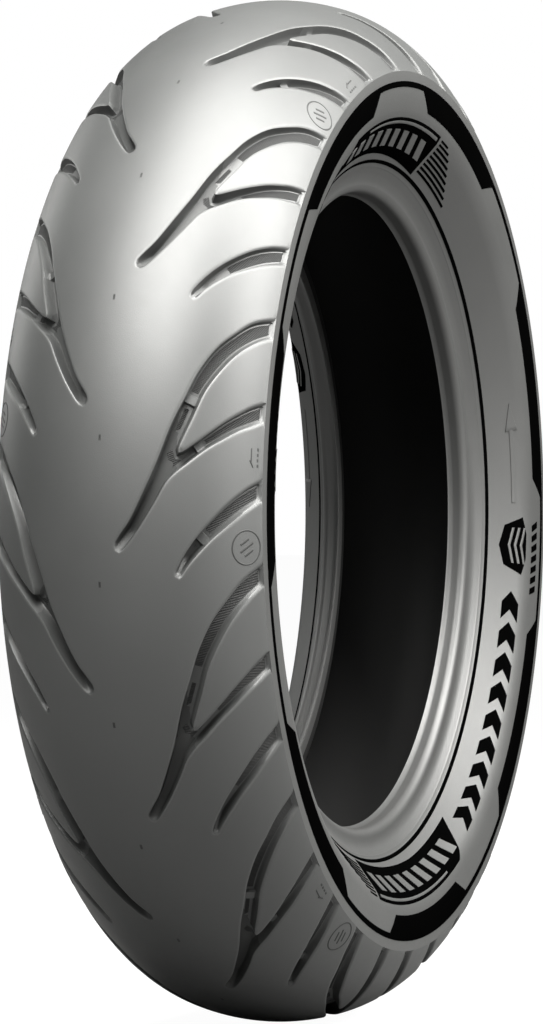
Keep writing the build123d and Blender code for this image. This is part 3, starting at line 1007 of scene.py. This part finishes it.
def make_liner():
    """Airtight liner on the cavity side."""
    keep = cavity_path[:, 1] > LINER_END_R
    inner = np.vstack([cavity_path[keep], (38.9, LINER_END_R)])
    ahead = np.gradient(inner, axis=0)
    ahead /= np.linalg.norm(ahead, axis=1)[:, None]
    outward = np.stack([-ahead[:, 1], ahead[:, 0]], -1)
    outer = inner + outward * 1.3
    outer[0, 0] = 0.0
    half = np.vstack([inner, outer[::-1]])
    mirrored = half[1:-1][::-1] * (-1, 1)
    liner = ring_piece("inner_liner_rubber", np.vstack([half, mirrored]), 1, LINER_RUBBER)
    finish_piece(liner, "liner_rubber", "inner_liner")


# ---- sidewall decoration ----------------------------------------------------------------------
TEETH = 7
TOOTH_MIDDLE = 187.1        # middle of one narrow stretch of the black band
NARROW_HALF = 9.1
WIDE_HALF = 12.1
BAND_OUTER = 269.6
BAND_NARROW = 266.0
BAND_WIDE = 253.7
BAND_LIFT = 0.35
LINE_OUTER = 221.3
LINE_INNER = 219.3


def band_inner(angles):
    """Inner radius of the black band at angles: narrow and wide stretches by turns."""
    step = 360 / TEETH
    gap = np.abs((np.asarray(angles) - TOOTH_MIDDLE + step / 2) % step - step / 2)
    share = np.clip((gap - NARROW_HALF) / (WIDE_HALF - NARROW_HALF), 0, 1)
    return BAND_NARROW + (BAND_WIDE - BAND_NARROW) * share


def band_angles():
    """Angles round the tyre with each corner of the band met exactly."""
    angles = list(np.arange(0, 360, 0.75))
    for tooth in range(TEETH):
        middle = TOOTH_MIDDLE + tooth * 360 / TEETH
        for half in (NARROW_HALF, WIDE_HALF):
            angles += [(middle - half) % 360, (middle + half) % 360]
    angles = np.array(sorted(angles))
    keep = np.concatenate([[True], np.diff(angles) > 0.02])
    return angles[keep]


FAR_SIDE_TURN = -18.5       # the marks of the two sidewalls aren't lined up
PANEL_ENDS = (241.5, 284.0)
CHEVRONS_FROM = 196.6
CHEVRON_STEP = 5.2
BLOCKS_FROM = 247.0
BLOCK_STEP = 4.15
RIB_TOP = 245.8
RIB_STEP = 2.45
DASHES_FROM = 182.4
DASH_STEP = 1.62
BADGE = 185.6               # angle of the badge's middle
PLATE_LIFT = 0.3            # height of the black plates
MARK_LIFT = 0.62            # height of the marks that stand on them
ARROW_LIFT = 0.45


def panel_edges(angles):
    """Outer and inner radius of the long black panel at angles."""
    low, high = PANEL_ENDS
    outer = np.interp(angles, [low, low + 1.0, low + 3.2, low + 4.8, high],
                      [227.2, 232, 243.5, 247.2, 247.2])
    inner = np.interp(angles, [low, low + 18, high], [226.9, 226.0, 222.4])
    return outer, inner


def make_decoration(label, side):
    """Black band, rim line, panels and plain blocks of one sidewall."""
    mirror_angles = 1 if side < 0 else -1

    def spin(angle):
        return mirror_angles * np.asarray(angle, float) + (0 if side < 0 else FAR_SIDE_TURN)

    black, grey = ([], []), ([], [])
    angles = band_angles()
    polar_plate(black, spin(angles), BAND_OUTER, band_inner(angles), BAND_LIFT, side, 8, True)
    ring_angles = np.arange(0, 360, 1.0)
    polar_plate(black, spin(ring_angles), LINE_OUTER, LINE_INNER, PLATE_LIFT, side, 2, True, 0.3)
    for half_turn in (0.0, 180.0):
        panel = np.linspace(*PANEL_ENDS, 90)
        outer, inner = panel_edges(panel)
        polar_plate(black, spin(panel + half_turn), outer, inner, PLATE_LIFT, side, 6)
        strip = np.linspace(252.0, 283.0, 60)
        polar_plate(grey, spin(strip + half_turn), 245.2, 244.0 - 0.025 * (strip - 252), 0.6, side, 2)
        for block in range(9):
            middle = BLOCKS_FROM + block * BLOCK_STEP
            drop = 0.05 * (middle - BLOCKS_FROM)
            slanted_block(grey, spin(middle + half_turn), 2.3, 241.2 - drop, 231.0 - drop,
                          -2.0 * mirror_angles, MARK_LIFT, side)
        for rib in range(9):
            radius = RIB_TOP - rib * RIB_STEP
            reach = np.linspace(285.0, 288.0 + rib * 1.35, 16)
            polar_plate(black, spin(reach + half_turn), radius + 0.65, radius - 0.65, PLATE_LIFT,
                        side, 2, bevel=0.2)
        for block in range(9):
            middle = CHEVRONS_FROM + block * CHEVRON_STEP
            slanted_block(black, spin(middle + half_turn), 3.0, 242.4, 232.0, 0.0, 0.35, side,
                          -1.9 * mirror_angles)
        for dash in range(7):
            middle = DASHES_FROM + dash * DASH_STEP
            slanted_block(black, spin(middle + half_turn), 0.95, 259.6, 252.4,
                          -0.7 * mirror_angles, PLATE_LIFT, side)
        badge = [(181.0, 243.0), (183.6, 246.2), (187.6, 246.2), (190.2, 243.0),
                 (188.9, 231.5), (185.6, 228.2), (182.3, 231.5)]
        outline_plate(black, [(float(spin(a + half_turn)), r) for a, r in badge], 0.35, side)
        for level in range(3):
            radius = 241.8 - level * 3.8
            for way in (-1, 1):
                reach = np.linspace(BADGE, BADGE + way * 2.9, 8)
                rise = np.abs(reach - BADGE) * 0.9
                polar_plate(grey, spin(reach + half_turn), radius + rise + 0.9, radius + rise - 0.7,
                            MARK_LIFT, side, 2, bevel=0.2)
        shaft = np.linspace(166.5, 178.6, 20)
        polar_plate(grey, spin(shaft + half_turn), 238.5, 235.9, ARROW_LIFT, side, 2, bevel=0.5)
        outline_plate(grey, [(float(spin(a + half_turn)), r) for a, r in
                             [(162.2, 237.2), (166.8, 240.9), (166.8, 233.5)]], ARROW_LIFT, side)
    piece = new_piece(f"sidewall_band_{label}", *black, BAND_RUBBER, 30)
    finish_piece(piece, "sidewall_rubber")
    piece = new_piece(f"sidewall_marks_{label}", *grey, MARK_RUBBER, 30)
    finish_piece(piece, "sidewall_rubber")


# ---- marks on the tread -----------------------------------------------------------------------
def tread_points(angle, arc, lift, side):
    """Points on the tread, lifted off it."""
    x, r, heading = on_tread(arc)
    return place(x + np.sin(heading) * lift, r + np.cos(heading) * lift, angle, side)


def tread_strip(store, centre, lift, width, side, closed):
    """Thin raised line that follows a path of flat points on the tread."""
    centre = np.asarray(centre, float)
    if closed:
        ahead = np.roll(centre, -1, 0) - np.roll(centre, 1, 0)
    else:
        ahead = np.gradient(centre, axis=0)
    ahead /= np.linalg.norm(ahead, axis=1)[:, None]
    across = np.stack([-ahead[:, 1], ahead[:, 0]], -1)
    rows = [centre + across * width * k for k in (-0.5, -0.25, 0.25, 0.5)]
    heights = (0.02, lift, lift, 0.02)
    top = np.array([tread_points(r[:, 0] / FLAT_DEG, r[:, 1], h, side) for r, h in zip(rows, heights)])
    bottom = np.array([tread_points(r[:, 0] / FLAT_DEG, r[:, 1], -0.3, side) for r in rows])
    plate(*store, 4, len(centre), top, bottom, closed)


def make_tread_marks(label, side):
    """Round wear-bar markers, arrows and their dashes, repeated every second pitch, coloured dark as
    painted shade.
    """
    store = ([], [])
    shift = SIDE_SHIFT if side > 0 else 0.0
    middle = np.array([(-4.2 + shift) * FLAT_DEG, 88.8])
    stretch = FLAT_DEG / 4.96
    turn = np.radians(np.arange(0, 360, 7.5))
    circle = middle + np.stack([np.cos(turn) * 9.8 * stretch, np.sin(turn) * 9.8], -1)
    tread_strip(store, circle, 0.2, 1.0, side, True)
    for offset, half in ((-3.6, 3.2), (0.0, 5.0), (3.6, 3.2)):
        along = np.linspace(-half, half, 7)
        bar = middle + np.stack([(along * 0.5 + offset * 0.9) * stretch, along * 0.87 - offset * 0.4], -1)
        tread_strip(store, bar, 0.2, 1.5, side, False)
    arrow = (6.15 + shift) * FLAT_DEG
    shaft = np.array([(arrow + k, 91.6) for k in np.linspace(-2.5, 6.0, 6)])
    barb = np.array([(arrow - 5.6 + k, 93.0 - k * 0.55) for k in np.linspace(0, 4.2, 5)])
    tread_strip(store, shaft, 0.22, 0.9, side, False)
    tread_strip(store, barb, 0.22, 1.0, side, False)
    for dash in range(4):
        along = arrow - 5.5 + dash * 3.4
        tread_strip(store, [(along + k, 96.3) for k in (0, 0.6, 1.2, 1.8)], 0.14, 1.3, side, False)
    piece = new_piece(f"tread_marks_{label}", *store, TREAD_MARK_SHADE, 30)
    repeat_piece(piece, MARK_TREE, PITCHES // 2)
    finish_piece(piece, "tread_rubber")


def make_centre_dashes():
    """Small marks along the centre line, coloured dark as painted shade."""
    store = ([], [])
    for side in (-1, 1):
        strip = [(7.5 * FLAT_DEG + k, 0.35) for k in np.linspace(-1.6, 1.6, 5)]
        tread_strip(store, strip, 0.05, 0.7, side, False)
    piece = new_piece("tread_centre_marks", *store, TREAD_MARK_SHADE, 30)
    repeat_piece(piece, MARK_TREE, PITCHES * 2)
    finish_piece(piece, "tread_rubber")


# ---- CAD nodes that keep their shape ------------------------------------------------------------
NODE_MATERIALS = {
    "tread_base": GUM_RUBBER, "tie_gum": GUM_RUBBER, "belt_outer": BELT_CORD,
    "belt_inner": BELT_CORD, "carcass_ply_outer": PLY_CORD, "carcass_ply_inner": PLY_CORD,
    "chafer": WEAVE, "bead_wrap": WEAVE, "bead_filler": GUM_RUBBER, "bead_wires": WIRE,
    "bead_insulation": GUM_RUBBER, "belt_edge_strip": GUM_RUBBER,
}


def dress_nodes():
    """Gives the inner CAD nodes their materials."""
    for name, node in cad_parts.items():
        stem = name.replace("_left", "").replace("_right", "")
        if stem in NODE_MATERIALS:
            node.data.materials.clear()
            node.data.materials.append(NODE_MATERIALS[stem])


# ---- studio -------------------------------------------------------------------------------------
# Each light: name, direction from the tyre, watts.
SOFTBOXES = [
    ("softbox_overhead", (-0.05, -0.05, 1.0), 72),
    ("softbox_over_side", (-0.1, -0.5, 0.85), 122),
    ("softbox_over_tread", (-0.5, -0.1, 0.85), 98),
    ("softbox_side_high", (-0.05, -0.85, 0.5), 110),
    ("softbox_side_far", (0.3, -0.75, 0.62), 70),
    ("softbox_tread_high", (-0.74, 0.0, 0.7), 76),
    ("softbox_tread_side", (-0.75, -0.2, 0.62), 48),
    ("softbox_tread_low", (-0.95, 0.1, 0.3), 7),
    ("softbox_side_low", (-0.4, -0.9, 0.1), 9),
    ("softbox_far_side", (0.35, 0.85, 0.35), 14),
]
SOFTBOX_FAR = 2.2
SOFTBOX_SIZE = (1.05, 1.05)
WARM = (1.0, 0.995, 0.968)
FILL_LIGHT = 0.1
FILL_TINT = (0.9, 1.0, 0.985, 1)
FLOOR_HALF = 30
FLOOR_GAP = 0.0005          # the floor lies this far under the tyre
FLOOR_GLOW = 1.03           # the floor's own light, as the camera sees it
FLOOR_GLOW_SHARE = 0.94


def area_light(name, place_at, aim, size, power, colour=(1, 1, 1)):
    """Soft rectangular light aimed at a point."""
    light = bpy.data.lights.new(name, "AREA")
    light.shape = "RECTANGLE"
    light.size, light.size_y = size
    light.energy = power
    light.color = colour
    holder = bpy.data.objects.new(name, light)
    holder.location = place_at
    holder.rotation_euler = (Vector(aim) - Vector(place_at)).to_track_quat("-Z", "Y").to_euler()
    bpy.context.scene.collection.objects.link(holder)
    return holder


def make_studio():
    """Pale floor, soft lights and an even bright surround."""
    bottom = cad_box[0][2]
    mesh = bpy.data.meshes.new("studio_floor")
    build = bmesh.new()
    bmesh.ops.create_grid(build, x_segments=8, y_segments=8, size=FLOOR_HALF)
    bmesh.ops.translate(build, verts=build.verts, vec=(0, 0, bottom - FLOOR_GAP))
    build.to_mesh(mesh)
    build.free()
    floor = bpy.data.objects.new("studio_floor", mesh)
    bpy.context.scene.collection.objects.link(floor)
    material, tree, shader = base_material("pale_floor")
    coordinates = tree.nodes.new("ShaderNodeTexCoord").outputs["Object"]
    speckle = noise_node(tree, coordinates, 3.0, 3)
    dim = ramp(tree, speckle, (0.09, 0.09, 0.09), (0.11, 0.11, 0.11))
    tree.links.new(dim, shader.inputs["Base Color"])
    shader.inputs["Roughness"].default_value = 0.9
    paper = tree.nodes.new("ShaderNodeBsdfDiffuse")
    paper.inputs[0].default_value = (0.9, 0.9, 0.9, 1)
    glow = tree.nodes.new("ShaderNodeEmission")
    glow.inputs[1].default_value = FLOOR_GLOW
    pale = tree.nodes.new("ShaderNodeMixShader")
    pale.inputs[0].default_value = FLOOR_GLOW_SHARE
    tree.links.new(paper.outputs[0], pale.inputs[1])
    tree.links.new(glow.outputs[0], pale.inputs[2])
    rays = tree.nodes.new("ShaderNodeLightPath")
    both = tree.nodes.new("ShaderNodeMixShader")
    tree.links.new(rays.outputs["Is Camera Ray"], both.inputs[0])
    tree.links.new(shader.outputs[0], both.inputs[1])
    tree.links.new(pale.outputs[0], both.inputs[2])
    tree.links.new(both.outputs[0], tree.nodes["Material Output"].inputs[0])
    mesh.materials.append(material)
    world = bpy.data.worlds.new("studio")
    bpy.context.scene.world = world
    world.use_nodes = True
    nodes, links = world.node_tree.nodes, world.node_tree.links
    seen = nodes.new("ShaderNodeBackground")
    seen.inputs[0].default_value = (1, 1, 1, 1)
    seen.inputs[1].default_value = 1.0
    fill = nodes["Background"]
    fill.inputs[0].default_value = FILL_TINT
    fill.inputs[1].default_value = FILL_LIGHT
    mix = nodes.new("ShaderNodeMixShader")
    rays = nodes.new("ShaderNodeLightPath")
    links.new(rays.outputs["Is Camera Ray"], mix.inputs[0])
    links.new(fill.outputs[0], mix.inputs[1])
    links.new(seen.outputs[0], mix.inputs[2])
    links.new(mix.outputs[0], nodes["World Output"].inputs[0])
    for name, way, power in SOFTBOXES:
        area_light(name, Vector(way).normalized() * SOFTBOX_FAR, (0, 0, 0), SOFTBOX_SIZE, power, WARM)


CAMERA_TURN = -69.94        # azimuth of the view, in degrees
CAMERA_FAR = 3.028          # metres from the centre of the tyre
CAMERA_LENS = 167.6
SENSOR = 36.0
AIM_ASIDE = 12.7            # the camera aims this far beside the centre of the tyre
AIM_BELOW = 0.6             # and this far below it


def make_camera():
    """Long-lens camera level with the axle, turned a little so that the tyre sits off centre."""
    data = bpy.data.cameras.new("camera")
    data.sensor_fit = "AUTO"
    data.sensor_width = SENSOR
    data.lens = CAMERA_LENS
    data.clip_end = 100
    camera = bpy.data.objects.new("camera", data)
    turn = radians(CAMERA_TURN)
    back = Vector((sin(turn), -cos(turn), 0))
    camera.location = back * CAMERA_FAR
    right = Vector((cos(turn), sin(turn), 0))
    aim = -back * CAMERA_FAR - (right * AIM_ASIDE + Vector((0, 0, AIM_BELOW))) * MM
    camera.rotation_euler = aim.to_track_quat("-Z", "Y").to_euler()
    bpy.context.scene.collection.objects.link(camera)
    bpy.context.scene.camera = camera


# ---- build --------------------------------------------------------------------------------------
MARK_TREE = repeat_tree("marks_round_tyre", [(None, TREAD_MARK_SHADE)])

make_camera()
make_studio()
make_tread()
for label, side in SIDES.items():
    make_rings(label, side)
    make_decoration(label, side)
    make_tread_marks(label, side)
make_centre_dashes()
make_liner()
dress_nodes()
bpy.context.scene.view_settings.view_transform = "Standard"
